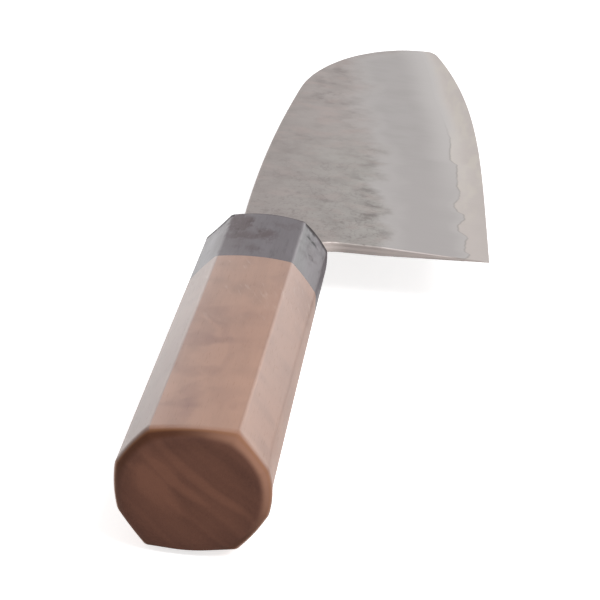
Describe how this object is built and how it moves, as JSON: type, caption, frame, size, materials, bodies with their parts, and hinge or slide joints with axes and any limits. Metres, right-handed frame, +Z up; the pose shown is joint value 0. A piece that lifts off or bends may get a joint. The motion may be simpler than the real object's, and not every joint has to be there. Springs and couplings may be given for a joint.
{
  "type": "santoku knife",
  "caption": "Santoku kitchen knife: laminated steel blade with a straight spine dropping to a rounded nose, dark ferrule and octagonal walnut handle with a hidden tang.",
  "frame": {"origin": "middle of the knife's bounding box, on the plane it lies on", "axes": "+X from the butt to the tip along the handle axis, +Y from the cutting edge to the spine, +Z up out of the blade's right side"},
  "size_m": [0.3022, 0.0546, 0.0206],
  "materials": {
    "core_steel": "fine satin, slightly warm, exposed along the edge",
    "cladding_steel": "pear-skin forged texture above, satin grind below",
    "walnut": "oiled satin",
    "dark_wood": "satin, near black with brown patches",
    "dowel_wood": "plain, unfinished",
    "glue": "set resin",
    "filler": "matte"
  },
  "bodies": {
    "root": {"blade_core": "core_steel", "cladding_right": "cladding_steel", "cladding_left": "cladding_steel", "handle_body": "walnut", "ferrule": "dark_wood", "dowel": "dowel_wood", "tang_bedding": "glue", "neck_seal": "filler"}
  },
  "joints": []
}
